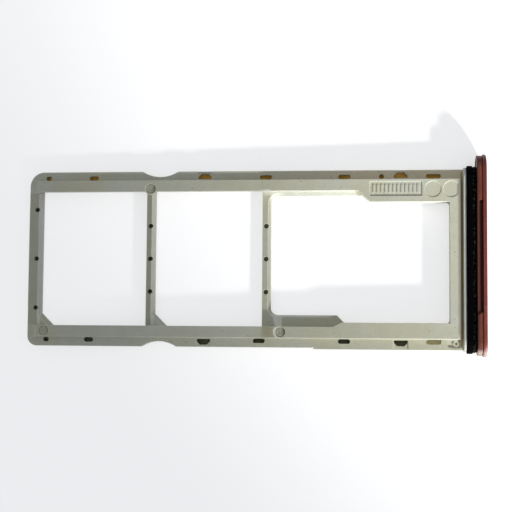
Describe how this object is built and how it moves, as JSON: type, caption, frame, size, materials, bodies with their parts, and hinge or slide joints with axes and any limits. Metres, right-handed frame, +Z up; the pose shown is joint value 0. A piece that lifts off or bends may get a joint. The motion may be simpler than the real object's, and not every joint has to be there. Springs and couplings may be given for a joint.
{
  "type": "sim card tray",
  "caption": "Slide-in card tray for a phone: a ladder frame with two nano card pockets and a memory card pocket, a rubber seal and a coloured door cap.",
  "frame": {"origin": "middle of the footprint, on the surface that the door cap's lower edge stands on", "axes": "+X along the tray from its tip to the door, +Y across it, +Z up, out of the memory card pocket"},
  "size_m": [0.038, 0.0164, 0.0027],
  "materials": {
    "frame_plastic": "cream-grey glass-filled plastic, fine matt mould texture",
    "insert_steel": "dull rolled stainless steel",
    "seal_rubber": "soft black silicone rubber",
    "cap_paint": "coral red metallic paint under a satin clear coat"
  },
  "bodies": {
    "root": {"tray_frame": "frame_plastic", "steel_insert": "insert_steel", "seal_ring": "seal_rubber", "door_cap": "cap_paint"}
  },
  "joints": []
}
